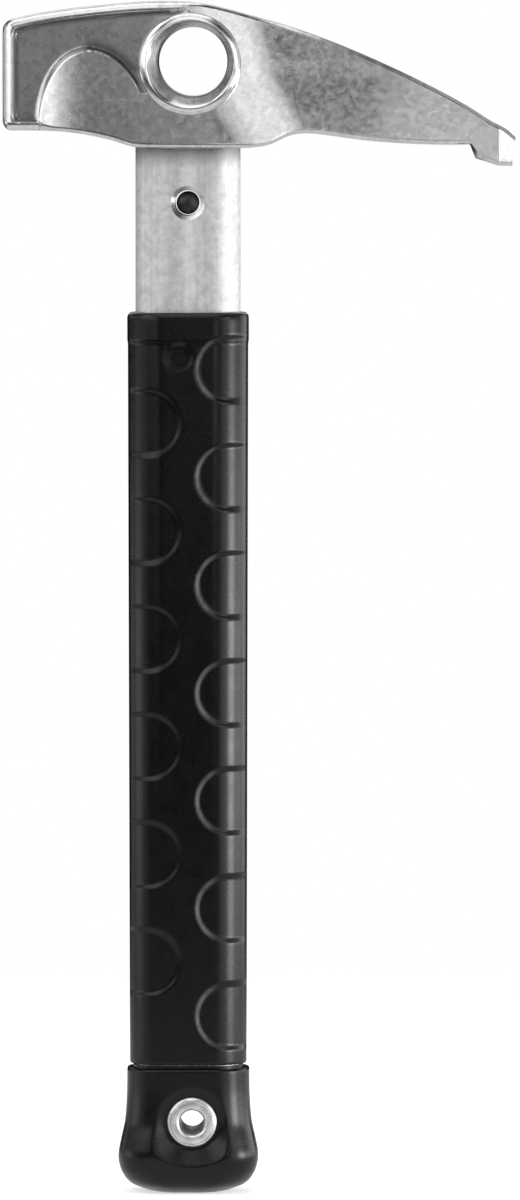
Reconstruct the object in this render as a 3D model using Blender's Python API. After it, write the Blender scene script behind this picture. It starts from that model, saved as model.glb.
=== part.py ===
# Piton hammer: a forged steel head with a carabiner hole, pinned on an aluminium tube,
# with a moulded rubber grip, a rubber pommel and a lanyard eyelet.
# Metres, +Z up. It stands on its pommel: the shaft runs along Z and the pick points along +X.

import math

import bmesh
import bpy
from mathutils import Vector

# Clearance between pieces that touch, and how far a cutter reaches past what it cuts
FIT_GAP = 0.0003
CUT_MARGIN = 0.0100

# Head outline in side view, as (x, z), from the striking face to the beak
HEAD_TOP = (
    (-0.0464, 0.29515),
    (-0.0380, 0.2970),
    (-0.0270, 0.2986),
    (-0.0096, 0.3001),
    (0.0030, 0.2997),
    (0.0156, 0.2967),
    (0.0282, 0.2929),
    (0.0408, 0.2881),
    (0.0534, 0.2825),
    (0.0629, 0.2778),
    (0.0702, 0.2738),
    (0.0762, 0.2700),
    (0.0798, 0.2681),
)
HEAD_UNDERSIDE = (
    (-0.0464, 0.2677),
    (-0.0348, 0.2676),
    (-0.0272, 0.2669),
    (-0.0197, 0.2654),
    (-0.0136, 0.2637),
    (-0.0080, 0.2634),
    (0.0130, 0.2634),
    (0.0170, 0.2635),
    (0.0207, 0.2642),
    (0.0257, 0.2664),
    (0.0307, 0.2669),
    (0.0459, 0.2650),
    (0.0610, 0.2641),
    (0.0711, 0.2641),
)
# Half of the head's thickness, as (x, y): full at the poll, drawn down along the pick
HEAD_HALF_THICKNESS = (
    (-0.0464, 0.0118),
    (-0.0300, 0.0120),
    (-0.0100, 0.0120),
    (-0.0020, 0.01195),
    (0.0030, 0.0116),
    (0.0080, 0.0107),
    (0.0120, 0.0096),
    (0.0160, 0.00845),
    (0.0190, 0.0076),
    (0.0220, 0.0070),
    (0.0260, 0.0066),
    (0.0320, 0.00625),
    (0.0400, 0.0058),
    (0.0500, 0.00515),
    (0.0600, 0.00435),
    (0.0700, 0.00345),
    (0.0782, 0.0027),
)
# The shoulder where the pick gets thin leans over: as (x, how far it moves along X for one of height)
SHOULDER_LEAN = (
    (-0.0125, 0.0),
    (-0.0040, -0.25),
    (0.0040, -0.50),
    (0.0120, -0.55),
    (0.0340, -0.50),
    (0.0480, -0.20),
    (0.0600, 0.0),
)
SHOULDER_LEVEL_Z = 0.2800
HEAD_EDGE_RADIUS = 0.0011
HEAD_EDGE_STEPS = 2
# Rounder upper edge of the poll, as (x, radius)
TOP_EDGE_STEPS = 3
TOP_EDGE_RADIUS = ((-0.0464, 0.0022), (-0.0160, 0.0022), (-0.0060, HEAD_EDGE_RADIUS))
HEAD_STATIONS = (
    -0.0380, -0.0320, -0.0260, -0.0210, -0.0165, -0.0125, -0.0080, -0.0030, 0.0015,
    0.0050, 0.0080, 0.0110, 0.0140, 0.0165, 0.0190, 0.0215, 0.0240, 0.0270, 0.0310, 0.0360,
    0.0420, 0.0480, 0.0540, 0.0600, 0.0655,
)

# Striking face: its flat and the rounded edge round it, as (x, how far the edge is drawn in)
FACE_ROUNDING = ((-0.0464, 0.0021), (-0.0461, 0.0012), (-0.0454, 0.00045), (-0.0440, 0.0))

# Beak: a hooked tooth under the end of the pick, ground to a blunt chisel edge
TOOTH_ROOT_X = 0.0711
TOOTH_HEEL_X = 0.0724
TOOTH_HEEL_Z = 0.2605
TOOTH_ROOT_SWEEP = 0.0014
TOOTH_HEEL_SWEEP = 0.0020
TOOTH_FLAT_END_X = 0.0758
TOOTH_FLAT_END_Z = 0.2602
BEVEL_START_X = 0.0782
BEVEL_BOTTOM_Z = 0.2591
TIP_X = 0.0819
TIP_TOP_Z = 0.2659
TIP_BOTTOM_Z = 0.2586
TIP_HALF_THICKNESS = 0.0012
TIP_LEAN = 0.12

# Recess in each flank of the poll: its floor, as (x, y), rises from the striking face to the ring
POCKET_LEFT_X = -0.0439
POCKET_RIGHT_X = -0.0060
POCKET_BOTTOM_Z = 0.2695
POCKET_RIM = 0.0024
POCKET_FLOOR = (
    (-0.0440, 0.0091),
    (-0.0380, 0.0092),
    (-0.0250, 0.0096),
    (-0.0120, 0.0102),
    (-0.0050, 0.0110),
)
POCKET_STATIONS = (-0.0340, -0.0290, -0.0240, -0.0200)
POCKET_DRAFT = 0.0004
POCKET_CORNER = 0.0009
# Where a level of the recess changes in one step, it does so over this length
POCKET_STEP = 0.0002
# To the right of the boss the recess ends at this height, between the boss and the ring
VALLEY_LEFT_X = -0.0170
VALLEY_BOTTOM_Z = 0.2758

# Arched boss that stands in the recess and runs into the middle of the head
ARCH_CENTRE = (-0.0256, 0.2690)
ARCH_LEFT_WIDTH = 0.0132
ARCH_RIGHT_WIDTH = 0.0156
ARCH_HEIGHT = 0.0195
ARCH_EDGE = 0.0003
ARCH_STEPS = 24
ARCH_ROOT_Y = 0.0070
BELOW_HEAD_Z = 0.2550
# Half thickness through the boss, as (x, y): it swells from the poll toward the shaft
ARCH_HALF_THICKNESS = (
    (-0.0395, 0.0094),
    (-0.0360, 0.01025),
    (-0.0330, 0.0110),
    (-0.0300, 0.01145),
    (-0.0260, 0.0118),
    (-0.0220, 0.01195),
    (-0.0195, 0.01215),
)

# Carabiner hole, a little off the middle of the raised ring round it
HOLE_CENTRE = (0.0013, 0.2850)
HOLE_RADIUS = 0.00863
RING_CENTRE = (0.0005, 0.2843)
RING_CREST_RADIUS = 0.0111
# Outside of the ring, as (radius, y)
RING_OUTSIDE = (
    (0.01295, 0.0080),
    (0.01293, 0.0122),
    (0.01277, 0.01265),
    (0.0124, 0.01295),
    (0.0118, 0.01322),
    (0.0110, 0.0134),
)
# Dish inside the ring, as (share of the way from the hole to the crest, y)
RING_DISH = ((0.0, 0.0100), (0.25, 0.01115), (0.7, 0.0125), (1.0, 0.0134))
RING_STEPS = 48

# Aluminium tube, a rounded rectangle in section
TUBE_WIDTH = 0.0264
TUBE_DEPTH = 0.0180
TUBE_CORNER = 0.0070
TUBE_SIZE = (TUBE_WIDTH / 2, TUBE_DEPTH / 2, TUBE_CORNER)
TUBE_WALL = 0.0020
TUBE_BOTTOM_Z = 0.0085
TUBE_TOP_Z = 0.2662

# Lip of the socket under the head, and the tang inside the tube
LIP_WIDTH = 0.0292
LIP_DEPTH = 0.0226
LIP_CORNER = 0.0085
LIP_EDGE = 0.0004
LIP_BOTTOM_Z = 0.2632
LIP_TOP_Z = 0.2644
LIP_ROOT_TAPER = 0.0030
TANG_BOTTOM_Z = 0.2280
TANG_ROOT_Z = 0.2700
TANG_CHAMFER = 0.0015
TANG_CHAMFER_HEIGHT = 0.0030

# Solid pin across the tube and the tang, its domed ends sunk below the tube's face
PIN_Z = 0.2495
PIN_BORE_RADIUS = 0.00315
PIN_LENGTH = 0.0148
PIN_CHAMFER = 0.0004
PIN_DOME = 0.00035
PIN_STEPS = 30
COUNTERSINK_RADIUS = 0.00425
COUNTERSINK_DEPTH = 0.0008

# Grip: a rubber sleeve, slightly narrower at its lower end
GRIP_BOTTOM_Z = 0.0327
GRIP_TOP_Z = 0.2220
GRIP_WIDTH_BOTTOM = 0.0294
GRIP_WIDTH_TOP = 0.0303
GRIP_DEPTH = 0.0220
GRIP_CORNER = 0.0090
GRIP_COLLAR_HEIGHT = 0.0072
GRIP_COLLAR_STEP = 0.00015
GRIP_EDGE = 0.0008
GRIP_END_ROUNDING = 0.0014

# Finger recesses down both edges of the grip, pressed straight in from the front and the back
RECESS_RADIUS = 0.0081
RECESS_DEPTH = 0.0005
RECESS_PITCH = 0.02712
RIGHT_RECESS_TOP_Z = 0.2078
RIGHT_RECESS_COUNT = 7
RIGHT_RECESS_CENTRE_X = 0.0104
LEFT_RECESS_TOP_Z = 0.1943
LEFT_RECESS_COUNT = 6
LEFT_RECESS_CENTRE_X = -0.0102
DIMPLE_CENTRE = (-0.0023, 0.2107)
DIMPLE_RADIUS = 0.0041
DIMPLE_DRAFT = 0.0004
DIMPLE_STEPS = 24
RECESS_STEPS = 12

# Pommel, as (z, half width, half depth), from its flat base up to the neck inside the seam
POMMEL_RINGS = (
    (0.0000, 0.0080, 0.0052),
    (0.0005, 0.0104, 0.0071),
    (0.0020, 0.0141, 0.0100),
    (0.0048, 0.0165, 0.0120),
    (0.0078, 0.0175, 0.0129),
    (0.0100, 0.0176, 0.0130),
    (0.0132, 0.0170, 0.0126),
    (0.0180, 0.0160, 0.0119),
    (0.0247, 0.0155, 0.0115),
    (0.0310, 0.0154, 0.0114),
    (0.0316, 0.0150, 0.0110),
    (0.0317, 0.0142, 0.0101),
    (0.0324, 0.0142, 0.0101),
)
POMMEL_CORNER = 0.0090
POMMEL_SOCKET_Z = 0.0082

# Lanyard eyelet through the pommel, the tube and the plug
EYELET_CENTRE = (0.0010, 0.0184)
EYELET_BORE = 0.0032
EYELET_BARREL = 0.0040
EYELET_FLANGE = 0.0063
EYELET_FLANGE_THICKNESS = 0.0014
EYELET_CREST = 0.0048
EYELET_LIP = 0.0054
EYELET_LIP_THICKNESS = 0.0007
EYELET_ROUNDING = 0.0007
EYELET_EDGE = 0.0005
WASHER_THICKNESS = 0.0008
WASHER_EDGE = 0.0003
DISH_RADIUS = 0.0094
DISH_FLOOR_RADIUS = 0.0070
DISH_DEPTH = 0.0010
PLUG_BOTTOM_Z = 0.0092
PLUG_TOP_Z = 0.0285
PLUG_CHAMFER = 0.0010

CORNER_STEPS = 6
ROUND_STEPS = 40
SMOOTH_ANGLE = math.radians(32)


def clear_scene():
    for obj in list(bpy.data.objects):
        bpy.data.objects.remove(obj, do_unlink=True)


def make_material(name, colour, metallic, roughness):
    material = bpy.data.materials.new(name)
    material.use_nodes = True
    shader = material.node_tree.nodes["Principled BSDF"]
    shader.inputs["Base Color"].default_value = (*colour, 1.0)
    shader.inputs["Metallic"].default_value = metallic
    shader.inputs["Roughness"].default_value = roughness
    return material


def smooth_curve(points, x):
    """Value at x of a smooth curve through the (x, value) points."""
    slopes = []
    for i in range(len(points)):
        before = points[max(i - 1, 0)]
        after = points[min(i + 1, len(points) - 1)]
        slopes.append((after[1] - before[1]) / (after[0] - before[0]))
    for i in range(len(points) - 1):
        (x0, v0), (x1, v1) = points[i], points[i + 1]
        if x <= x1 or i == len(points) - 2:
            span = x1 - x0
            t = min(max((x - x0) / span, 0.0), 1.0)
            rise = (1 + 2 * t) * (1 - t) ** 2 * v0 + t * t * (3 - 2 * t) * v1
            return rise + t * (1 - t) ** 2 * span * slopes[i] - t * t * (1 - t) * span * slopes[i + 1]
    return points[-1][1]


def resized(size, change):
    """Half width, half depth and corner radius, each changed by the same length."""
    return tuple(length + change for length in size)


def rounded_rectangle(half_a, half_b, radius, steps=CORNER_STEPS):
    """Outline of a rounded rectangle, counterclockwise, as (a, b) pairs."""
    outline = []
    for corner, (sign_a, sign_b) in enumerate(((1, 1), (-1, 1), (-1, -1), (1, -1))):
        for step in range(steps + 1):
            angle = math.radians(90) * (corner + step / steps)
            a = sign_a * (half_a - radius) + radius * math.cos(angle)
            b = sign_b * (half_b - radius) + radius * math.sin(angle)
            outline.append((a, b))
    return outline


def loft(rings):
    """Closed skin over rings of points, each with as many points as the others."""
    bm = bmesh.new()
    loops = [[bm.verts.new(point) for point in ring] for ring in rings]
    count = len(loops[0])
    for lower, upper in zip(loops, loops[1:]):
        for i in range(count):
            j = (i + 1) % count
            bm.faces.new((lower[i], lower[j], upper[j], upper[i]))
    bm.faces.new(reversed(loops[0]))
    bm.faces.new(loops[-1])
    bmesh.ops.recalc_face_normals(bm, faces=bm.faces)
    return bm


def upright(levels):
    """Skin over rounded rectangles stacked along Z, from (z, half width, half depth, corner)."""
    rings = []
    for z, half_x, half_y, radius in levels:
        rings.append([Vector((x, y, z)) for x, y in rounded_rectangle(half_x, half_y, radius)])
    return loft(rings)


def turned(profile, centre, segments=ROUND_STEPS):
    """Solid turned round an axis along Y through centre, from a (radius, y) profile.

    A profile that doesn't start on the axis is closed into a loop.
    """
    bm = bmesh.new()
    axis_point = Vector((centre[0], 0.0, centre[1]))
    verts = [bm.verts.new(axis_point + Vector((radius, y, 0.0))) for radius, y in profile]
    edges = [bm.edges.new((a, b)) for a, b in zip(verts, verts[1:])]
    if profile[0][0] > 0.0:
        edges.append(bm.edges.new((verts[-1], verts[0])))
    bmesh.ops.spin(
        bm,
        geom=verts + edges,
        cent=axis_point,
        axis=(0.0, 1.0, 0.0),
        angle=math.tau,
        steps=segments,
        use_merge=True,
    )
    bmesh.ops.remove_doubles(bm, verts=bm.verts, dist=0.000001)
    bmesh.ops.recalc_face_normals(bm, faces=bm.faces)
    return bm


def add_object(name, bm):
    mesh = bpy.data.meshes.new(name)
    bm.to_mesh(mesh)
    bm.free()
    obj = bpy.data.objects.new(name, mesh)
    bpy.context.scene.collection.objects.link(obj)
    return obj


def add_piece(name, bm, material):
    piece = add_object(name, bm)
    piece.data.materials.append(material)
    piece.data.shade_smooth()
    piece.data.set_sharp_from_angle(angle=SMOOTH_ANGLE)
    return piece


def add_tool(name, bm):
    """A helper that only shapes other pieces."""
    tool = add_object(name, bm)
    tool.hide_render = True
    tool.display_type = "WIRE"
    return tool


def combine(piece, tool, operation="DIFFERENCE"):
    modifier = piece.modifiers.new(tool.name, "BOOLEAN")
    modifier.operation = operation
    modifier.solver = "EXACT"
    modifier.object = tool


def cross_bore(name, radius, centre):
    """Cutter for a round hole along Y."""
    far = LIP_DEPTH / 2 + CUT_MARGIN
    profile = ((0.0, -far), (radius, -far), (radius, far), (0.0, far))
    return add_tool(name, turned(profile, centre))


def head_outline(half, height, top_radius, bottom_radius):
    """Section of the head, counterclockwise, as (y, z) about its middle."""
    corners = (
        (1, 1, top_radius, TOP_EDGE_STEPS),
        (-1, 1, top_radius, TOP_EDGE_STEPS),
        (-1, -1, bottom_radius, HEAD_EDGE_STEPS),
        (1, -1, bottom_radius, HEAD_EDGE_STEPS),
    )
    outline = []
    for corner, (sign_y, sign_z, radius, steps) in enumerate(corners):
        if corner == 3:
            outline.append((0.0, -height / 2))
        for step in range(steps + 1):
            angle = math.radians(90) * (corner + step / steps)
            y = sign_y * (half - radius) + radius * math.cos(angle)
            z = sign_z * (height / 2 - radius) + radius * math.sin(angle)
            outline.append((y, z))
    return outline


def leaned_height(curve, x, lean):
    """Height where a line that leans from (x, SHOULDER_LEVEL_Z) meets an outline curve."""
    height = SHOULDER_LEVEL_Z
    for _ in range(6):
        height = smooth_curve(curve, x + lean * (height - SHOULDER_LEVEL_Z))
    return height


def head_section(x, drawn_in=0.0, sweep=0.0, top=None, bottom=None, half=None, lean=0.0):
    """Ring of points round the head at x. A sweep draws the underside's edges back from its middle."""
    top = (leaned_height(HEAD_TOP, x, lean) if top is None else top) - drawn_in
    bottom = (leaned_height(HEAD_UNDERSIDE, x, lean) if bottom is None else bottom) + drawn_in
    half = (smooth_curve(HEAD_HALF_THICKNESS, x) if half is None else half) - drawn_in
    largest = 0.9 * half
    top_radius = min(smooth_curve(TOP_EDGE_RADIUS, x), largest)
    bottom_radius = min(HEAD_EDGE_RADIUS, largest)
    middle = (top + bottom) / 2
    ring = []
    for y, z in head_outline(half, top - bottom, top_radius, bottom_radius):
        swept = sweep * abs(y) / half if z < 0.0 else 0.0
        leaned = lean * (middle + z - SHOULDER_LEVEL_Z)
        ring.append(Vector((x + leaned + swept, y, middle + z)))
    return ring


def head_body():
    """Poll, middle and pick as one skin along X."""
    rings = [head_section(x, drawn_in) for x, drawn_in in FACE_ROUNDING]
    rings += [head_section(x, lean=smooth_curve(SHOULDER_LEAN, x)) for x in HEAD_STATIONS]
    rings.append(head_section(TOOTH_ROOT_X, sweep=TOOTH_ROOT_SWEEP))
    rings.append(head_section(TOOTH_HEEL_X, sweep=TOOTH_HEEL_SWEEP, bottom=TOOTH_HEEL_Z))
    rings.append(head_section(TOOTH_FLAT_END_X, bottom=TOOTH_FLAT_END_Z))
    rings.append(head_section(BEVEL_START_X, bottom=BEVEL_BOTTOM_Z))
    # The tip leans about its own middle
    tip_x = TIP_X - TIP_LEAN * ((TIP_TOP_Z + TIP_BOTTOM_Z) / 2 - SHOULDER_LEVEL_Z)
    rings.append(
        head_section(tip_x, top=TIP_TOP_Z, bottom=TIP_BOTTOM_Z, half=TIP_HALF_THICKNESS, lean=TIP_LEAN)
    )
    return loft(rings)


def arch_tool(side):
    """The arched boss on one flank: the recess stops against it, and it runs out below the head."""
    rings = []
    for step in range(ARCH_STEPS + 1):
        angle = math.pi * step / ARCH_STEPS
        reach = ARCH_LEFT_WIDTH if 2 * step < ARCH_STEPS else ARCH_RIGHT_WIDTH
        x = ARCH_CENTRE[0] - reach * math.cos(angle)
        top = ARCH_CENTRE[1] + ARCH_HEIGHT * math.sin(angle)
        crown = smooth_curve(ARCH_HALF_THICKNESS, x)
        ring = (
            (ARCH_ROOT_Y, BELOW_HEAD_Z),
            (crown, BELOW_HEAD_Z),
            (crown, top - ARCH_EDGE),
            (crown - ARCH_EDGE, top),
            (ARCH_ROOT_Y, top),
        )
        rings.append([Vector((x, side * y, z)) for y, z in ring])
    return loft(rings)


def pocket_tool(side):
    """Cutter for the recess in one flank: it starts behind the striking face and ends inside the ring.

    Under the boss it opens through the bottom, so that the boss alone shapes the flank there.
    """
    mouth_y = HEAD_HALF_THICKNESS[1][1] + CUT_MARGIN
    boss_left = ARCH_CENTRE[0] - ARCH_LEFT_WIDTH
    stations = [
        (POCKET_LEFT_X, POCKET_BOTTOM_Z + POCKET_CORNER, POCKET_CORNER),
        (POCKET_LEFT_X + POCKET_CORNER, POCKET_BOTTOM_Z, 0.0),
        (boss_left + POCKET_STEP, POCKET_BOTTOM_Z, 0.0),
        (boss_left + 2 * POCKET_STEP, BELOW_HEAD_Z, 0.0),
    ]
    stations += [(x, BELOW_HEAD_Z, 0.0) for x in POCKET_STATIONS]
    stations += [
        (VALLEY_LEFT_X - POCKET_STEP, BELOW_HEAD_Z, 0.0),
        (VALLEY_LEFT_X, VALLEY_BOTTOM_Z, 0.0),
        ((VALLEY_LEFT_X + POCKET_RIGHT_X) / 2, VALLEY_BOTTOM_Z, 0.0),
        (POCKET_RIGHT_X, VALLEY_BOTTOM_Z, 0.0),
    ]
    rings = []
    for place, (x, bottom, corner) in enumerate(stations):
        floor = smooth_curve(POCKET_FLOOR, x)
        top = smooth_curve(HEAD_TOP, x) - POCKET_RIM - corner
        shift = POCKET_DRAFT if place < 2 else 0.0
        ring = (
            (x + shift, floor, bottom + POCKET_DRAFT),
            (x, mouth_y, bottom),
            (x, mouth_y, top),
            (x + shift, floor, top - POCKET_DRAFT),
        )
        rings.append([Vector((px, side * py, pz)) for px, py, pz in ring])
    return loft(rings)


def ring_tool():
    """Disc that the ring round the carabiner hole is cut from, on both flanks at once."""
    front = [(radius, -y) for radius, y in reversed(RING_OUTSIDE)]
    profile = [(0.0, front[0][1])] + front + list(RING_OUTSIDE) + [(0.0, RING_OUTSIDE[-1][1])]
    return turned(profile, RING_CENTRE, segments=RING_STEPS)


def hole_tool():
    """Cutter for the carabiner hole and its dishes, which widen from the hole to the ring's crest."""
    sections = []
    for share, y in RING_DISH:
        x = HOLE_CENTRE[0] + share * (RING_CENTRE[0] - HOLE_CENTRE[0])
        z = HOLE_CENTRE[1] + share * (RING_CENTRE[1] - HOLE_CENTRE[1])
        sections.append((y, x, z, HOLE_RADIUS + share * (RING_CREST_RADIUS - HOLE_RADIUS)))
    sections.append((sections[-1][0] + CUT_MARGIN, *RING_CENTRE, RING_CREST_RADIUS))
    rings = []
    for y, x, z, radius in [(-y, *rest) for y, *rest in reversed(sections)] + sections:
        turns = [math.tau * step / RING_STEPS for step in range(RING_STEPS)]
        rings.append([Vector((x + radius * math.cos(a), y, z - radius * math.sin(a))) for a in turns])
    return loft(rings)


def build_head(steel):
    head = add_piece("head", head_body(), steel)
    lip = (LIP_WIDTH / 2, LIP_DEPTH / 2, LIP_CORNER)
    lip_levels = (
        (LIP_BOTTOM_Z, *resized(lip, -LIP_EDGE)),
        (LIP_BOTTOM_Z + LIP_EDGE, *lip),
        (LIP_TOP_Z, *lip),
        (TANG_ROOT_Z, *resized(lip, -LIP_ROOT_TAPER)),
    )
    combine(head, add_tool("socket_lip", upright(lip_levels)), "UNION")
    for side, flank in ((-1, "front"), (1, "back")):
        pocket = add_tool(f"{flank}_recess", pocket_tool(side))
        combine(pocket, add_tool(f"{flank}_arch", arch_tool(side)))
        combine(head, pocket)
    combine(head, add_tool("ring_disc", ring_tool()), "UNION")
    combine(head, add_tool("carabiner_hole", hole_tool()))
    socket_size = resized(TUBE_SIZE, FIT_GAP)
    socket_levels = ((BELOW_HEAD_Z, *socket_size), (TUBE_TOP_Z + FIT_GAP, *socket_size))
    combine(head, add_tool("tube_socket", upright(socket_levels)))
    tang = resized(TUBE_SIZE, -TUBE_WALL - FIT_GAP)
    tang_levels = (
        (TANG_BOTTOM_Z, *resized(tang, -TANG_CHAMFER)),
        (TANG_BOTTOM_Z + TANG_CHAMFER_HEIGHT, *tang),
        (TANG_ROOT_Z, *tang),
    )
    combine(head, add_tool("tang", upright(tang_levels)), "UNION")
    combine(head, cross_bore("tang_bore", PIN_BORE_RADIUS, (0.0, PIN_Z)))
    return head


def pin_hole_tool():
    """Cutter for the pin's holes in the tube, countersunk front and back."""
    face = TUBE_DEPTH / 2
    front = [
        (COUNTERSINK_RADIUS, -face - CUT_MARGIN),
        (COUNTERSINK_RADIUS, -face),
        (PIN_BORE_RADIUS, -face + COUNTERSINK_DEPTH),
    ]
    back = [(radius, -y) for radius, y in reversed(front)]
    profile = [(0.0, front[0][1])] + front + back + [(0.0, back[-1][1])]
    return turned(profile, (0.0, PIN_Z))


def build_tube(aluminium):
    ends = (TUBE_BOTTOM_Z, TUBE_TOP_Z)
    tube = add_piece("shaft_tube", upright([(z, *TUBE_SIZE) for z in ends]), aluminium)
    inner = resized(TUBE_SIZE, -TUBE_WALL)
    far_ends = (TUBE_BOTTOM_Z - CUT_MARGIN, TUBE_TOP_Z + CUT_MARGIN)
    combine(tube, add_tool("tube_inside", upright([(z, *inner) for z in far_ends])))
    combine(tube, add_tool("tube_pin_hole", pin_hole_tool()))
    combine(tube, cross_bore("tube_eyelet_bore", EYELET_BARREL + FIT_GAP, EYELET_CENTRE))
    return tube


def build_pin(steel):
    """Solid pin with domed and chamfered ends."""
    outside = PIN_BORE_RADIUS - FIT_GAP
    flat = outside - PIN_CHAMFER
    half = PIN_LENGTH / 2
    end = [
        (0.0, half),
        (flat / 2, half - PIN_DOME / 4),
        (flat, half - PIN_DOME),
        (outside, half - PIN_DOME - PIN_CHAMFER),
    ]
    profile = [(radius, -y) for radius, y in end] + end[::-1]
    pin = add_piece("head_pin", turned(profile, (0.0, 0.0), segments=PIN_STEPS), steel)
    pin.location = (0.0, 0.0, PIN_Z)
    return pin


def grip_width(z):
    return GRIP_WIDTH_BOTTOM + (GRIP_WIDTH_TOP - GRIP_WIDTH_BOTTOM) * (z - GRIP_BOTTOM_Z) / (
        GRIP_TOP_Z - GRIP_BOTTOM_Z
    )


def grip_level(z, grown=0.0):
    return (z, grip_width(z) / 2 + grown, GRIP_DEPTH / 2 + grown, GRIP_CORNER + grown)


def recess_prism(bm, centre_x, centre_z, outward):
    """A slot with one round end, which runs out past the edge of the grip."""
    far = GRIP_WIDTH_TOP / 2 + CUT_MARGIN
    outline = []
    for step in range(RECESS_STEPS + 1):
        angle = math.radians(90) + math.pi * step / RECESS_STEPS
        outline.append(
            (centre_x + outward * RECESS_RADIUS * math.cos(angle), centre_z + RECESS_RADIUS * math.sin(angle))
        )
    outline += [(outward * far, centre_z - RECESS_RADIUS), (outward * far, centre_z + RECESS_RADIUS)]
    verts = [bm.verts.new((x, -far, z)) for x, z in outline]
    base = bm.faces.new(verts)
    made = bmesh.ops.extrude_face_region(bm, geom=[base])
    moved = [item for item in made["geom"] if isinstance(item, bmesh.types.BMVert)]
    bmesh.ops.translate(bm, verts=moved, vec=(0.0, 2 * far, 0.0))


def recess_tool():
    """All finger recesses as slots right through the grip, before their floor is left standing."""
    bm = bmesh.new()
    for place in range(RIGHT_RECESS_COUNT):
        recess_prism(bm, RIGHT_RECESS_CENTRE_X, RIGHT_RECESS_TOP_Z - place * RECESS_PITCH, 1)
    for place in range(LEFT_RECESS_COUNT):
        recess_prism(bm, LEFT_RECESS_CENTRE_X, LEFT_RECESS_TOP_Z - place * RECESS_PITCH, -1)
    bmesh.ops.recalc_face_normals(bm, faces=bm.faces)
    return bm


def build_grip(rubber):
    collar_z = GRIP_TOP_Z - GRIP_COLLAR_HEIGHT
    levels = [
        grip_level(GRIP_BOTTOM_Z, -GRIP_EDGE),
        grip_level(GRIP_BOTTOM_Z + GRIP_EDGE),
        grip_level(collar_z - 2 * GRIP_COLLAR_STEP),
        grip_level(collar_z, GRIP_COLLAR_STEP),
        grip_level(GRIP_TOP_Z - GRIP_END_ROUNDING, GRIP_COLLAR_STEP),
        grip_level(GRIP_TOP_Z - GRIP_END_ROUNDING * 0.3, -GRIP_END_ROUNDING * 0.3),
        grip_level(GRIP_TOP_Z, -GRIP_END_ROUNDING * 0.9),
    ]
    grip = add_piece("grip_sleeve", upright(levels), rubber)
    # The floor of the recesses is a body of the same width but less depth
    far_ends = (GRIP_BOTTOM_Z - CUT_MARGIN, GRIP_TOP_Z + CUT_MARGIN)
    floor_levels = []
    for z in far_ends:
        half_width = grip_width(z) / 2 + 0.1 * RECESS_DEPTH
        floor_levels.append((z, half_width, GRIP_DEPTH / 2 - RECESS_DEPTH, GRIP_CORNER))
    recesses = add_tool("finger_recesses", recess_tool())
    combine(recesses, add_tool("recess_floor", upright(floor_levels)))
    combine(grip, recesses)
    front = -GRIP_DEPTH / 2
    dimple_profile = (
        (0.0, front - CUT_MARGIN),
        (DIMPLE_RADIUS, front - CUT_MARGIN),
        (DIMPLE_RADIUS, front),
        (DIMPLE_RADIUS - DIMPLE_DRAFT, front + RECESS_DEPTH),
        (0.0, front + RECESS_DEPTH),
    )
    combine(grip, add_tool("thumb_dimple", turned(dimple_profile, DIMPLE_CENTRE, segments=DIMPLE_STEPS)))
    bore = resized(TUBE_SIZE, FIT_GAP)
    combine(grip, add_tool("grip_bore", upright([(z, *bore) for z in far_ends])))
    return grip


def eyelet_seat():
    """Y of the dish floor that the eyelet's flange sits on."""
    half_depth = smooth_curve([(z, depth) for z, _, depth in POMMEL_RINGS], EYELET_CENTRE[1])
    return half_depth - DISH_DEPTH


def build_pommel(rubber):
    levels = [(z, width, depth, min(POMMEL_CORNER, depth - 0.0002)) for z, width, depth in POMMEL_RINGS]
    pommel = add_piece("pommel_cap", upright(levels), rubber)
    bore = resized(TUBE_SIZE, FIT_GAP)
    socket_ends = (POMMEL_SOCKET_Z, POMMEL_RINGS[-1][0] + CUT_MARGIN)
    combine(pommel, add_tool("pommel_socket", upright([(z, *bore) for z in socket_ends])))
    seat = eyelet_seat()
    for side, place in ((-1, "front"), (1, "back")):
        dish_profile = (
            (0.0, side * seat),
            (DISH_FLOOR_RADIUS, side * seat),
            (DISH_RADIUS, side * (seat + 1.1 * DISH_DEPTH)),
            (DISH_RADIUS, side * (seat + CUT_MARGIN)),
            (0.0, side * (seat + CUT_MARGIN)),
        )
        combine(pommel, add_tool(f"{place}_dish", turned(dish_profile, EYELET_CENTRE)))
    combine(pommel, cross_bore("pommel_bore", EYELET_BARREL + FIT_GAP, EYELET_CENTRE))
    return pommel


def build_plug(plastic):
    size = resized(TUBE_SIZE, -TUBE_WALL - FIT_GAP)
    levels = (
        (PLUG_BOTTOM_Z, *size),
        (PLUG_TOP_Z - PLUG_CHAMFER, *size),
        (PLUG_TOP_Z, *resized(size, -PLUG_CHAMFER)),
    )
    plug = add_piece("tube_plug", upright(levels), plastic)
    combine(plug, cross_bore("plug_bore", EYELET_BARREL + FIT_GAP, EYELET_CENTRE))
    return plug


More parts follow.
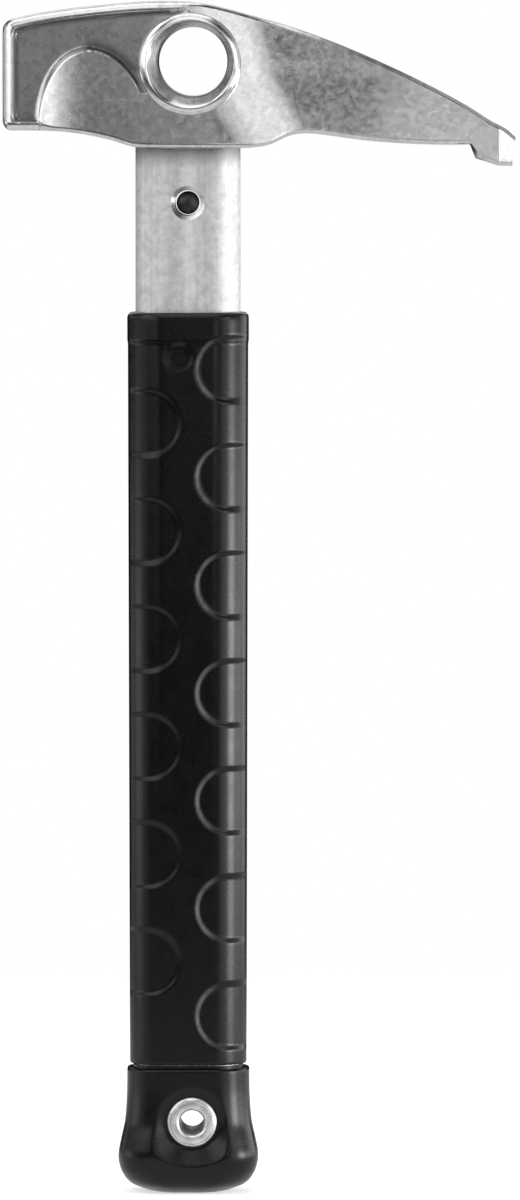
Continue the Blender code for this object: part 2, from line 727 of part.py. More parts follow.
def build_eyelet(steel):
    """Flanged barrel from the front, its far end rolled over a washer at the back."""
    seat = eyelet_seat() + FIT_GAP
    flange_face = seat + EYELET_FLANGE_THICKNESS
    washer_face = seat + WASHER_THICKNESS
    lip_start = washer_face + FIT_GAP
    lip_face = lip_start + EYELET_LIP_THICKNESS
    barrel_profile = (
        (EYELET_BORE + 2 * EYELET_EDGE, -flange_face + 0.2 * EYELET_EDGE),
        (EYELET_CREST, -flange_face),
        (EYELET_FLANGE - EYELET_ROUNDING, -flange_face + 0.3 * EYELET_ROUNDING),
        (EYELET_FLANGE, -flange_face + EYELET_ROUNDING),
        (EYELET_FLANGE, -seat),
        (EYELET_BARREL, -seat),
        (EYELET_BARREL, lip_start),
        (EYELET_LIP, lip_start),
        (EYELET_LIP - EYELET_EDGE, lip_face),
        (EYELET_BORE + EYELET_EDGE, lip_face),
        (EYELET_BORE, lip_face - EYELET_EDGE),
        (EYELET_BORE, -flange_face + 2 * EYELET_EDGE),
        (EYELET_BORE + 0.6 * EYELET_EDGE, -flange_face + 0.8 * EYELET_EDGE),
    )
    washer_profile = (
        (EYELET_BARREL + FIT_GAP, seat),
        (EYELET_FLANGE, seat),
        (EYELET_FLANGE, washer_face - WASHER_EDGE),
        (EYELET_FLANGE - WASHER_EDGE, washer_face),
        (EYELET_BARREL + FIT_GAP, washer_face),
    )
    add_piece("eyelet_barrel", turned(barrel_profile, EYELET_CENTRE), steel)
    add_piece("eyelet_washer", turned(washer_profile, EYELET_CENTRE), steel)


def main():
    clear_scene()
    forged_steel = make_material("forged_steel", (0.42, 0.42, 0.42), 1.0, 0.38)
    aluminium = make_material("anodised_aluminium", (0.62, 0.62, 0.63), 1.0, 0.42)
    pin_steel = make_material("dark_pin_steel", (0.20, 0.20, 0.20), 1.0, 0.45)
    rubber = make_material("black_rubber", (0.012, 0.012, 0.012), 0.0, 0.42)
    plastic = make_material("black_plastic", (0.020, 0.020, 0.020), 0.0, 0.50)
    eyelet_steel = make_material("plated_steel", (0.70, 0.70, 0.70), 1.0, 0.25)
    build_head(forged_steel)
    build_tube(aluminium)
    build_pin(pin_steel)
    build_grip(rubber)
    build_pommel(rubber)
    build_plug(plastic)
    build_eyelet(eyelet_steel)


main()
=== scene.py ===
import math

import bmesh
import bpy
import numpy as np
from mathutils import Matrix, Vector


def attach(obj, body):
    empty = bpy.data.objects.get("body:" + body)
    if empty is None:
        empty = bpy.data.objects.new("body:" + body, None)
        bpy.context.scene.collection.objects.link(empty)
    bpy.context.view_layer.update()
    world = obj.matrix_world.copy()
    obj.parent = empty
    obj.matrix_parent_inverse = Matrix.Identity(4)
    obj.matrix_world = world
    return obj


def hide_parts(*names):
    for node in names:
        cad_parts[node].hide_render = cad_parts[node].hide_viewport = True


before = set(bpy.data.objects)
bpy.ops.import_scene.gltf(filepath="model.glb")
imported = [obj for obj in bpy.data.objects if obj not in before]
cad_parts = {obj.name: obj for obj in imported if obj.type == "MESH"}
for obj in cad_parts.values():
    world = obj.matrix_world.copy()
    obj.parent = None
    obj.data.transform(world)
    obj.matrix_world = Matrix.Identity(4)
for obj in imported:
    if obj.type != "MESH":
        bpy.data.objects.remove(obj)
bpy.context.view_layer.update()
print("frame loaded:", ", ".join(sorted(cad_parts)))

# Pieces are modelled in millimetres, in the frame's own axes, and turned into metres at the end.
millimetre = 0.001
weld = 1e-4  # points nearer than this are one point
past = 1.0  # how far a cutting tool reaches beyond the faces that it goes through


# Shapes

def smoothStep(low, high, value):
    t = np.clip((value - low) / (high - low), 0.0, 1.0)
    return t * t * (3.0 - 2.0 * t)


def fadeOut(low, high, value):
    return 1 - smoothStep(low, high, value)


def softMin(a, b, blend):
    return (a + b - np.sqrt((a - b) ** 2 + blend * blend)) / 2


def softMax(a, b, blend):
    return (a + b + np.sqrt((a - b) ** 2 + blend * blend)) / 2


def curveThrough(points, at):
    # smooth curve through (place, value) points, read at an array of places
    places, values = np.array(points, float).T
    slopes = np.gradient(values, places)
    slopes[1:-1] = (values[2:] - values[:-2]) / (places[2:] - places[:-2])
    at = np.clip(at, places[0], places[-1])
    i = np.clip(np.searchsorted(places, at, side="right") - 1, 0, len(places) - 2)
    span = places[i + 1] - places[i]
    t = (at - places[i]) / span
    rise = (1 + 2 * t) * (1 - t) ** 2 * values[i] + t * t * (3 - 2 * t) * values[i + 1]
    return rise + t * (1 - t) ** 2 * span * slopes[i] - t * t * (1 - t) * span * slopes[i + 1]


def lineThrough(points, at):
    places, values = np.array(points, float).T
    return np.interp(at, places, values)


def roundedPrism(width, depth, corner, low, high, segments=12):
    # an upright bar with a rounded rectangular section, closed at both ends
    bm = bmesh.new()
    bmesh.ops.create_grid(bm, x_segments=1, y_segments=1, size=0.5)
    bmesh.ops.scale(bm, vec=(width, depth, 1.0), verts=bm.verts)
    bmesh.ops.bevel(
        bm, geom=bm.verts[:], offset=corner, offset_type="OFFSET", affect="VERTICES",
        segments=segments, profile=0.5, material=-1,
    )
    bmesh.ops.translate(bm, verts=bm.verts, vec=(0, 0, low))
    made = bmesh.ops.extrude_face_region(bm, geom=bm.faces[:])
    raised = [item for item in made["geom"] if isinstance(item, bmesh.types.BMVert)]
    bmesh.ops.translate(bm, verts=raised, vec=(0, 0, high - low))
    bmesh.ops.recalc_face_normals(bm, faces=bm.faces)
    return bm


def spun(profile, centre, steps=96, closed=False):
    # turns a (radius, y) profile round an axis along Y through centre, given as (x, z); a closed profile
    # ends where it starts
    bm = bmesh.new()
    middle = Vector((centre[0], 0.0, centre[1]))
    points = [bm.verts.new(middle + Vector((radius, y, 0.0))) for radius, y in profile]
    edges = [bm.edges.new(pair) for pair in zip(points, points[1:])]
    if closed:
        edges.append(bm.edges.new((points[-1], points[0])))
    bmesh.ops.spin(
        bm, geom=points + edges, cent=middle, axis=(0, 1, 0), angle=math.tau, steps=steps, use_merge=True,
    )
    bmesh.ops.remove_doubles(bm, verts=bm.verts, dist=weld)
    bmesh.ops.recalc_face_normals(bm, faces=bm.faces)
    return bm


def arc(centre, radius, start, end, steps):
    # points on an arc, angles in degrees
    turned = [math.radians(start + (end - start) * i / steps) for i in range(steps + 1)]
    return [(centre[0] + radius * math.cos(a), centre[1] + radius * math.sin(a)) for a in turned]


def stackedDiscs(levels, steps=128):
    # a round bar along Y through discs given as (y, centre x, centre z, radius)
    bm = bmesh.new()
    bmesh.ops.create_circle(bm, cap_ends=True, segments=steps, radius=1.0)
    disc = next(iter(bm.faces))
    directions = [vert.co.copy() for vert in disc.verts]
    for place, (y, centreX, centreZ, radius) in enumerate(levels):
        if place:
            last = disc
            made = bmesh.ops.extrude_face_region(bm, geom=[last])
            disc = next(item for item in made["geom"] if isinstance(item, bmesh.types.BMFace))
        if place > 1:  # only the first disc stays, as the bar's end
            bmesh.ops.delete(bm, geom=[last], context="FACES_ONLY")
        for vert, direction in zip(disc.verts, directions):
            vert.co = (centreX + radius * direction.x, y, centreZ + radius * direction.y)
    bmesh.ops.recalc_face_normals(bm, faces=bm.faces)
    return bm


def meshOf(name, bm):
    mesh = bpy.data.meshes.new(name)
    bm.to_mesh(mesh)
    bm.free()
    return mesh


def joinedBy(mesh, steps):
    # carries out Booleans on a mesh, one after another, as (operation, bmesh) steps
    body = bpy.data.objects.new("shaping", mesh)
    bpy.context.scene.collection.objects.link(body)
    tools = []
    for operation, bm in steps:
        tool = bpy.data.objects.new("tool", meshOf("tool", bm))
        bpy.context.scene.collection.objects.link(tool)
        modifier = body.modifiers.new(operation, "BOOLEAN")
        modifier.operation = operation
        modifier.solver = "EXACT"
        modifier.object = tool
        tools.append(tool)
    graph = bpy.context.evaluated_depsgraph_get()
    result = bpy.data.meshes.new_from_object(body.evaluated_get(graph))
    for used in [body] + tools:
        bpy.data.objects.remove(used, do_unlink=True)
    return result


def pointsOf(mesh):
    flat = np.empty(len(mesh.vertices) * 3, np.float32)
    mesh.vertices.foreach_get("co", flat)
    return flat.reshape(-1, 3).astype(float)


def movePoints(mesh, points):
    mesh.vertices.foreach_set("co", points.astype(np.float32).ravel())
    mesh.update()


def gridPlaces(mesh, columns, rows):
    # which column and which row of a grid made by create_grid each point is in
    across, up, _ = ((pointsOf(mesh) + 1) / 2).T
    return np.rint(across * (columns - 1)).astype(int), np.rint(up * (rows - 1)).astype(int)


def paint(mesh, attribute, values):
    layer = mesh.attributes.new(attribute, "FLOAT", "POINT")
    layer.data.foreach_set("value", values.astype(np.float32))


def addPiece(name, mesh, material, replaced, sharpAngle=40):
    # mesh is in millimetres; the finished piece is in metres, at the origin
    mesh.transform(Matrix.Scale(millimetre, 4))
    mesh.name = name
    mesh.materials.clear()
    mesh.materials.append(material)
    mesh.shade_smooth()
    mesh.set_sharp_from_angle(angle=math.radians(sharpAngle))
    piece = bpy.data.objects.new(name, mesh)
    bpy.context.scene.collection.objects.link(piece)
    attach(piece, "root")
    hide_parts(*replaced)
    print(f"{name}: {sum(len(p.vertices) - 2 for p in mesh.polygons)} triangles")
    return piece


# Finishes: in each one's dictionary, sizes and depths are in millimetres and tones are shares of white

class Signal:
    # one output of a node, which Python's own operators turn into Math nodes
    def __init__(self, finish, socket):
        self.finish = finish
        self.socket = socket

    def maths(self, operation, first, second):
        return self.finish.node("ShaderNodeMath", {"operation": operation}, {0: first, 1: second})

    def __add__(self, other):
        return self.maths("ADD", self, other)

    def __radd__(self, other):
        return self.maths("ADD", other, self)

    def __sub__(self, other):
        return self.maths("SUBTRACT", self, other)

    def __rsub__(self, other):
        return self.maths("SUBTRACT", other, self)

    def __mul__(self, other):
        return self.maths("MULTIPLY", self, other)

    def __rmul__(self, other):
        return self.maths("MULTIPLY", other, self)


class Finish:
    # the nodes of one material
    def __init__(self, name):
        self.material = bpy.data.materials.new(name)
        self.material.use_nodes = True
        self.tree = self.material.node_tree
        self.shader = self.tree.nodes["Principled BSDF"]
        self.place = self.node("ShaderNodeTexCoord", output="Object")

    def node(self, kind, settings=None, sockets=None, output=0):
        made = self.tree.nodes.new(kind)
        for name, value in (settings or {}).items():
            setattr(made, name, value)
        for name, value in (sockets or {}).items():
            self.feed(made.inputs[name], value)
        return Signal(self, made.outputs[output])

    def feed(self, socket, value):
        if isinstance(value, Signal):
            self.tree.links.new(value.socket, socket)
        else:
            socket.default_value = value

    def give(self, **values):
        # values for the shader's sockets, with underscores for the spaces in their names
        for name, value in values.items():
            self.feed(self.shader.inputs[name.replace("_", " ")], value)

    def stretched(self, x, y, z):
        # the piece's own coordinates, scaled along each axis
        return self.node(
            "ShaderNodeMapping", {"vector_type": "POINT"}, {"Vector": self.place, "Scale": (x, y, z)},
        )

    def noise(self, size, detail=2.0, roughness=0.5, along=None):
        # size is the width of one speck in millimetres
        return self.node(
            "ShaderNodeTexNoise", {},
            {
                "Vector": along or self.place, "Scale": 1.0 / (size * millimetre),
                "Detail": detail, "Roughness": roughness,
            },
        )

    def ranged(self, value, low=0.3, high=0.7, toLow=0.0, toHigh=1.0):
        # most of a noise lies between 0.3 and 0.7
        return self.node(
            "ShaderNodeMapRange", {"interpolation_type": "SMOOTHSTEP"},
            {"Value": value, "From Min": low, "From Max": high, "To Min": toLow, "To Max": toHigh},
        )

    def roughness(self, value, look):
        return self.ranged(value, toLow=look["rough"], toHigh=look["rough"] + look["roughSpread"])

    def blended(self, factor, first, second):
        return self.node(
            "ShaderNodeMix", {"data_type": "RGBA"}, {"Factor": factor, "A": first, "B": second}, output=2,
        )

    def painted(self, attribute):
        return self.node("ShaderNodeAttribute", {"attribute_name": attribute}, output="Fac")

    def bumped(self, height, depth, under=None):
        # depth in millimetres
        sockets = {"Height": height, "Distance": depth * millimetre, "Strength": 1.0}
        if under is not None:
            sockets["Normal"] = under
        return self.node("ShaderNodeBump", {}, sockets)


def grey(level):
    return (level, level, level, 1.0)


def forgedSteelFinish():
    look = {
        "dark": 0.53, "light": 0.71, "wornHighlightTone": 0.80, "grimeAndShadeTone": 0.08,
        "blotch": 12.0, "fleck": 1.5, "grain": 0.40, "ripple": 2.4,
        "grainDepth": 0.012, "fleckDepth": 0.012, "rippleDepth": 0.013,
        "rough": 0.19, "roughSpread": 0.08, "wornRough": 0.15, "grimeAndShadeRough": 0.12,
    }
    f = Finish("forgedSteel")
    blotch = f.noise(look["blotch"], 3.0)
    fleck = f.noise(look["fleck"], 4.0, 0.6)
    grain = f.noise(look["grain"], 3.0, 0.6)
    ripple = f.noise(look["ripple"], 2.0)
    # worn lightens the crests and edges: partly wear, partly a painted highlight
    wornAndHighlit = f.painted("wornAndHighlit")
    # dirt darkens the recess, its walls and the boss's foot and right side: partly grime, partly painted
    # shade
    grimeAndShade = f.painted("grimeAndShade")
    tone = f.ranged(blotch * 0.2 + fleck * 0.55 + grain * 0.25, 0.34, 0.66)
    plain = f.blended(tone, grey(look["dark"]), grey(look["light"]))
    soiledAndShaded = f.blended(grimeAndShade * 0.7, plain, grey(look["grimeAndShadeTone"]))
    rough = f.roughness(fleck * 0.5 + ripple * 0.5, look) + grimeAndShade * look["grimeAndShadeRough"]
    relief = f.bumped(fleck, look["fleckDepth"], f.bumped(ripple, look["rippleDepth"]))
    f.give(
        Base_Color=f.blended(wornAndHighlit * 0.8, soiledAndShaded, grey(look["wornHighlightTone"])),
        Metallic=1.0,
        Roughness=rough - wornAndHighlit * (look["rough"] - look["wornRough"]),
        Normal=f.bumped(grain, look["grainDepth"], relief),
    )
    return f.material


def brushedAluminiumFinish():
    # a painted shadow lies under the lip of the head, and painted shade in the left of the countersink of
    # the pin's hole
    look = {
        "dark": 0.54, "light": 0.78, "streak": 0.30, "streakLength": 60.0, "streakDepth": 0.022,
        "mottle": 2.2, "mottleDepth": 0.020, "rough": 0.56, "roughSpread": 0.08,
        "shadeTone": 0.15, "lipShadowAbovePin": (8.0, 14.5), "cutShadeAcross": (1.5, -1.5),
        "cutShade": (0.1, 0.85), "cutGloss": 0.28,
    }
    f = Finish("brushedAluminium")
    drawn = f.stretched(1.0, 1.0, look["streak"] / look["streakLength"])
    fine = f.noise(look["streak"], 3.0, 0.7, drawn)
    wide = f.noise(look["streak"] * 9, 2.0, 0.5, drawn)
    mottle = f.noise(look["mottle"], 4.0, 0.6)
    tone = f.ranged(fine * 0.25 + wide * 0.3 + mottle * 0.45, 0.36, 0.64)
    plain = f.blended(tone, grey(look["dark"]), grey(look["light"]))

    # cut is 1 in the countersink, which is also smoother than the drawn faces
    across, up = (f.node("ShaderNodeSeparateXYZ", {}, {"Vector": f.place}, output=name) for name in "XZ")
    up = up - shaft["pinLevel"] * millimetre
    edge = (shaft["countersink"] * millimetre) ** 2
    cut = f.ranged(across * across + up * up, edge * 0.98, edge * 1.06, 1.0, 0.0)
    low, high = (level * millimetre for level in look["lipShadowAbovePin"])
    right, left = (place * millimetre for place in look["cutShadeAcross"])
    # painted shadow under the head's lip, broken up by the mottle, and painted shade toward the
    # countersink's left
    paintedShade = f.ranged(up, low, high) * (mottle * 0.8 + 0.4)
    paintedShade = paintedShade + cut * f.ranged(across, right, left, *look["cutShade"])
    f.give(
        Base_Color=f.blended(paintedShade, plain, grey(look["shadeTone"])),
        Metallic=1.0,
        Roughness=f.roughness(wide, look) - cut * look["cutGloss"],
        Normal=f.bumped(fine, look["streakDepth"], f.bumped(mottle, look["mottleDepth"])),
    )
    return f.material


def blackRubberFinish(name):
    look = {
        "dark": 0.0003, "light": 0.001, "dustTone": 0.003, "rimHighlightTone": 0.10, "sheen": 0.35,
        "grain": 0.35, "grainDepth": 0.006, "wave": 5.0, "waveDepth": 0.020, "dust": 9.0,
        "rough": 0.24, "roughSpread": 0.06,
    }
    f = Finish(name)
    grain = f.noise(look["grain"], 2.0, 0.6)
    wave = f.noise(look["wave"], 2.0)
    dust = f.ranged(f.noise(look["dust"], 5.0, 0.65), 0.56, 0.75)
    plain = f.blended(f.ranged(grain), grey(look["dark"]), grey(look["light"]))
    dusty = f.blended(dust * 0.5, plain, grey(look["dustTone"]))
    # scuffed is a painted highlight along the rims of the finger recesses
    rimHighlight = f.painted("rimHighlight") * f.ranged(wave, 0.35, 0.6, 0.5, 1.0)
    f.give(
        Base_Color=f.blended(rimHighlight, dusty, grey(look["rimHighlightTone"])),
        Roughness=f.roughness(wave * 0.5 + grain * 0.5, look),
        Specular_IOR_Level=look["sheen"],
        Normal=f.bumped(grain, look["grainDepth"], f.bumped(wave, look["waveDepth"])),
    )
    return f.material


def platedSteelFinish(name, dark, light):
    look = {"grain": 0.5, "smear": 3.0, "grainDepth": 0.004, "rough": 0.30, "roughSpread": 0.10}
    f = Finish(name)
    grain = f.noise(look["grain"], 3.0, 0.6)
    smear = f.noise(look["smear"], 3.0, 0.6)
    f.give(
        Base_Color=f.blended(f.ranged(smear, 0.35, 0.65), grey(dark), grey(light)),
        Metallic=1.0,
        Roughness=f.roughness(grain * 0.5 + smear * 0.5, look),
        Normal=f.bumped(grain, look["grainDepth"]),
    )
    return f.material


def plugPlasticFinish():
    look = {
        "dark": 0.014, "light": 0.026, "grain": 0.4, "grainDepth": 0.02, "rough": 0.45, "roughSpread": 0.15,
    }
    f = Finish("plugPlastic")
    grain = f.noise(look["grain"])
    f.give(
        Base_Color=f.blended(f.ranged(grain), grey(look["dark"]), grey(look["light"])),
        Roughness=f.roughness(grain, look),
        Normal=f.bumped(grain, look["grainDepth"]),
    )
    return f.material


def floorFinish():
    # pale paper, which fades out toward its edge; what the hammer reflects of it is set apart from what
    # the camera sees of it
    look = {
        "dark": 0.86, "light": 0.90, "toneReflected": 0.12, "rough": 0.8,
        "glowReflected": 0.7, "glowSeen": 0.60, "fibre": 3.0,
    }
    f = Finish("paperFloor")
    plain = f.blended(f.ranged(f.noise(look["fibre"], 4.0, 0.6)), grey(look["dark"]), grey(look["light"]))
    seen = f.node("ShaderNodeLightPath", output="Is Camera Ray")
    away = 1.0 / (studio["floorRadius"] * millimetre)
    fromCentre = f.node(
        "ShaderNodeTexGradient", {"gradient_type": "SPHERICAL"}, {"Vector": f.stretched(away, away, away)},
        output="Fac",
    )
    f.give(
        Base_Color=f.blended(seen, grey(look["toneReflected"]), plain),
        Roughness=look["rough"],
        Specular_IOR_Level=0.0,
        Emission_Color=f.blended(seen, grey(look["glowReflected"]), grey(look["glowSeen"])),
        Emission_Strength=1.0,
        Alpha=f.ranged(fromCentre, 0.0, 0.5),
    )
    return f.material


forgedSteel = forgedSteelFinish()
gripRubber = blackRubberFinish("gripRubber")
pommelRubber = blackRubberFinish("pommelRubber")
darkPinSteel = platedSteelFinish("darkPinSteel", 0.02, 0.07)
brightEyelet = platedSteelFinish("brightEyelet", 0.60, 0.80)
plugPlastic = plugPlasticFinish()
print("finishes made")


# Head: one forging. Its flank is a height over the side view, modelled once and mirrored.

head = {
    "top": (
        (-46.4, 295.15), (-38.0, 297.0), (-27.0, 298.6), (-9.6, 300.1), (3.0, 299.7), (15.6, 296.7),
        (28.2, 292.9), (40.8, 288.1), (53.4, 282.5), (62.9, 277.8), (70.2, 273.8), (76.2, 270.0),
        (79.8, 268.1), (82.4, 265.9),
    ),
    "underside": (
        (-46.4, 267.7), (-34.8, 267.6), (-27.2, 266.9), (-19.7, 265.4), (-13.6, 263.6), (-8.0, 263.3),
        (13.0, 263.3), (17.0, 263.5), (20.7, 264.2), (25.7, 266.4), (30.7, 266.9), (45.9, 265.0),
        (61.0, 264.1), (70.8, 264.1),
    ),
    "halfThickness": (
        (-46.4, 11.8), (-30.0, 12.0), (-10.0, 12.0), (-2.0, 11.95), (3.0, 11.6), (8.0, 10.7), (12.0, 9.6),
        (16.0, 8.45), (19.0, 7.6), (22.0, 7.0), (26.0, 6.6), (32.0, 6.25), (40.0, 5.8), (50.0, 5.15),
        (60.0, 4.35), (70.0, 3.45), (78.0, 2.75), (84.0, 2.3),
    ),
    # the thin pick starts along a line that leans with the height, less so toward its end and its top
    "shoulderLean": 0.55,
    "shoulderLevel": 280.0,
    "leanEndsOver": (42.0, 60.0),
    "leanHalvesOver": (278.0, 286.0),
    # widths that are rounded: all along, at the top and the underside of the poll, and at its face
    "edge": 1.1,
    "rimEdge": 2.2,
    "rimEdgeTo": (-6.0, 4.0),
    "lowRimEdge": 1.8,
    "lowRimTo": (-37.5, -33.0),
    "faceEdge": 2.4,
    # along the pick the edges are more like a chamfer
    "chamferFrom": (14.0, 24.0),
    "chamferDepth": 0.75,
    "chamferCurl": 1.4,
    # beak, as (x underneath, z underneath, x on top) at its corners
    "beak": (
        (66.0, 264.0, 66.0), (70.9, 264.1, 70.6), (72.3, 260.6, 73.2), (78.1, 258.8, 78.1),
        (81.5, 258.7, 82.35),
    ),
    # bevel toward the tip, as (x, half thickness)
    "bevel": ((78.1, 2.74), (82.4, 1.3)),
    # facet behind the heel: its width at both ends, its depth, where it is, and what is left at its back
    "heelFacet": (0.4, 2.1),
    "heelDepth": 3.0,
    "heelFrom": 68.0,
    "heelLeft": 0.2,
    # recess in the poll
    "rim": 2.35,
    "recessLeft": -43.95,
    "recessBottom": 269.5,
    "recessCorner": 0.8,
    "recessWall": 0.85,
    "recessFloor": ((-46.0, 9.1), (-38.0, 9.2), (-25.0, 9.6), (-12.0, 10.2), (-6.0, 10.8), (0.0, 11.8)),
    # between the boss's right foot and the ring the recess runs out over these places and heights
    "valleyStart": (-20.0, -15.0),
    "valleyRise": (276.0, 283.0),
    # arched boss; its wall is softer on its left, and to the right of archSteepFrom it is steep
    "archCentre": (-25.6, 269.0),
    "archReach": (12.7, 15.6),
    "archHeight": 19.5,
    "archWall": (1.5, 0.9),
    "archFoot": 0.2,
    "archCurl": 1.5,
    "archSteepFrom": (-29.0, -24.0),
    "archCrown": (
        (-39.5, 9.4), (-36.0, 10.25), (-33.0, 11.0), (-30.0, 11.45), (-26.0, 11.8), (-22.0, 11.95),
        (-16.0, 12.0),
    ),
    # ring round the carabiner hole, as (radius, y), and its dish, as (share of the way out, y); the tool
    # that cuts the dish is a little wider than the crest at its mouth
    "holeCentre": (1.3, 285.0),
    "holeRadius": 8.63,
    "ringCentre": (0.5, 284.3),
    "ringCrest": 11.1,
    "ringSteps": 160,
    "mouthWider": 0.4,
    "ring": (
        (10.9, 13.4), (11.15, 13.38), (11.4, 13.32), (11.7, 13.21), (12.0, 13.07), (12.3, 12.89),
        (12.55, 12.69), (12.75, 12.46), (12.88, 12.15), (12.94, 11.7), (12.95, 10.9), (12.95, 9.0),
    ),
    "dish": (
        (0.0, 10.0), (0.1, 10.6), (0.25, 11.15), (0.4, 11.6), (0.47, 11.86), (0.66, 12.5), (0.8, 12.97),
        (0.91, 13.26), (1.0, 13.4),
    ),
    # lip round the socket: above lipTop it steps in and slopes away under the flank
    "lipSize": (29.2, 22.6, 8.5),
    "lipTop": 264.5,
    "lipRound": 0.35,
    "lipStep": 0.9,
    "lipSlope": 0.25,
    "lipEnd": 270.0,
    "lipBlend": 0.15,
    # socket, as (width, depth, corner) and its two ends
    "socket": (27.0, 18.6, 7.3),
    "socketEnds": (255.0, 266.5),
    # spacing of the flank's columns, and how many rows lie in each rounded edge and between them
    "pollStep": 0.30,
    "pollEnd": 16.0,
    "pickStep": 0.7,
    "pickEnd": 65.5,
    "beakColumns": 60,
    "edgeRows": 8,
    "flankRows": 106,
}


def sideStations():
    # places of the grid's columns: fine along the poll and the ring, wider along the pick
    turned = np.linspace(0, math.pi / 2, head["edgeRows"] + 1)
    face = head["top"][0][0] + head["faceEdge"] * (1 - np.cos(turned))
    poll = np.arange(face[-1] + head["pollStep"], head["pollEnd"], head["pollStep"])
    pick = np.arange(poll[-1] + 2 * head["pollStep"], head["pickEnd"], head["pickStep"])
    straight = np.concatenate([face, poll, pick])
    knots = np.array(head["beak"])
    lengths = np.concatenate([[0], np.cumsum(np.hypot(*np.diff(knots[:, :2], axis=0).T))])
    # three columns close together keep the corner behind the tooth crisp
    crease = lengths[3] + np.array([-0.1, 0.0, 0.1])
    along = np.unique(np.concatenate([np.linspace(0, lengths[-1], head["beakColumns"]), crease]))
    under, level, above = (np.interp(along, lengths, knots[:, i]) for i in range(3))
    # the beak's corners are rounded a little
    for row in (under, level, above):
        row[1:-1] = (row[:-2] + 2 * row[1:-1] + row[2:]) / 4
    under = np.concatenate([straight, under])
    above = np.concatenate([straight, above])
    level = np.concatenate([curveThrough(head["underside"], straight), level])
    return under, level, above


def recessShare(x, z):
    # how far inside the recess's outline a place is, and how much of its depth is reached there
    corner = head["recessCorner"]
    farInside = 50.0
    top = curveThrough(head["top"], x)
    inside = softMin(x - head["recessLeft"], (top - head["rim"] - z) * 0.98, corner)
    # to the right of its own wall the boss stands down to the underside, with no rim below it
    archLeft = head["archCentre"][0] - head["archReach"][0]
    inside = softMin(inside, np.where(x < archLeft + 1.0, z - head["recessBottom"], farInside), corner)
    fading = 1 - smoothStep(*head["valleyStart"], x) * fadeOut(*head["valleyRise"], z)
    return inside, smoothStep(0.0, head["recessWall"], inside) * fading * (x < head["ringCentre"][0])


def insideArch(x, z):
    # distance inside the boss's outline, negative outside it
    centreX, centreZ = head["archCentre"]
    reach = np.where(x < centreX, *head["archReach"])
    across = (x - centreX) / reach
    up = np.maximum(z - centreZ, 0.0) / head["archHeight"]
    radius = np.hypot(across, up)
    steep = np.hypot(across / reach, up / head["archHeight"]) / np.maximum(radius, 1e-6)
    return (1 - radius) / np.maximum(steep, 1e-3)


def archWallWidth(x):
    soft, steep = head["archWall"]
    return soft + (steep - soft) * smoothStep(*head["archSteepFrom"], x)


def flankHeight(x, z, fromEnds, edge):
    # half thickness of the head at (x, z); fromEnds is the distance to the outline, edge the width that
    # is rounded there
    lean = head["shoulderLean"] * fadeOut(*head["leanEndsOver"], x)
    lean = lean * (1 - 0.5 * smoothStep(*head["leanHalvesOver"], z))
    flank = curveThrough(head["halfThickness"], x + lean * (z - head["shoulderLevel"]))

    # recess: a floor inside the rim, which ends against the ring and above the boss's right foot
    floor = curveThrough(head["recessFloor"], x)
    flank = flank - (flank - floor) * recessShare(x, z)[1]

    # boss: everything inside the arch is lifted to its crown
    crown = curveThrough(head["archCrown"], x)
    lifted = np.clip((insideArch(x, z) + head["archFoot"]) / archWallWidth(x), 0, 1) ** head["archCurl"]
    flank = np.where(crown > flank, flank + (crown - flank) * lifted * (x < 0), flank)

    # bevel toward the tip
    (startX, startY), (endX, endY) = head["bevel"]
    flank = np.minimum(flank, startY - (x - startX) * (startY - endY) / (endX - startX))

    # edges
    outside = np.clip((edge - fromEnds) / edge, 0.0, 1.0)
    alongPick = smoothStep(*head["chamferFrom"], x)
    roundDrop = 1 - np.sqrt(1 - outside**2)
    chamferDrop = head["chamferDepth"] * outside ** head["chamferCurl"]
    flank = flank - edge * (roundDrop + (chamferDrop - roundDrop) * alongPick) - faceDrop(x)

    # lip of the socket, a bead under the flank
    width, depth, corner = head["lipSize"]
    overCorner = np.clip(np.abs(x) - (width / 2 - corner), 0.0, corner)
    lip = depth / 2 - corner + np.sqrt(corner**2 - overCorner**2)
    top, half = head["lipTop"], head["lipRound"]
    lip = lip - head["lipStep"] * smoothStep(top - half, top + half, z)
    lip = lip - head["lipSlope"] * np.maximum(z - top, 0.0)
    inLip = (np.abs(x) < width / 2) & (z < head["lipEnd"])
    return np.where(inLip, softMax(flank, lip, head["lipBlend"]), flank)


def faceDrop(x):
    # how far the striking face's rounded edge draws the outline in at x
    edge = head["faceEdge"]
    outside = np.clip((head["top"][0][0] + edge - x) / edge, 0.0, 1.0)
    return edge * (1 - np.sqrt(1 - outside**2))


def headFlank():
    under, level, above = sideStations()
    inner = np.linspace(0, 1, head["flankRows"])
    turned = 1 - np.cos(np.linspace(0, math.pi / 2, head["edgeRows"]))
    rows = len(inner) + 2 * (len(turned) - 1)
    bm = bmesh.new()
    bmesh.ops.create_grid(bm, x_segments=len(under) - 1, y_segments=rows - 1, size=1.0)
    mesh = meshOf("headFlank", bm)
    column, row = gridPlaces(mesh, len(under), rows)

    # each column runs from the underside to the top, with closer rows in the rounded edges
    zTop = curveThrough(head["top"], above) - faceDrop(under)
    level = level + faceDrop(under)
    tall = np.hypot(above - under, zTop - level)
    edge = head["edge"]
    lowEdge = edge + (head["lowRimEdge"] - edge) * fadeOut(*head["lowRimTo"], under)
    topEdge = edge + (head["rimEdge"] - edge) * fadeOut(*head["rimEdgeTo"], under)
    low = (lowEdge / tall)[:, None] * turned
    high = 1 - (topEdge / tall)[:, None] * turned[::-1]
    middle = low[:, -1:] + (high[:, :1] - low[:, -1:]) * inner[1:-1]
    share = np.concatenate([low, middle, high], axis=1)[column, row]
    x = under[column] + (above - under)[column] * share
    z = level[column] + (zTop - level)[column] * share
    fromEnds = np.minimum(share, 1 - share) * tall[column]
    y = flankHeight(x, z, fromEnds, np.where(share > 0.5, topEdge[column], lowEdge[column]))
    movePoints(mesh, np.stack([x, -heelGround(x, y, z), z], axis=1))
    return mesh


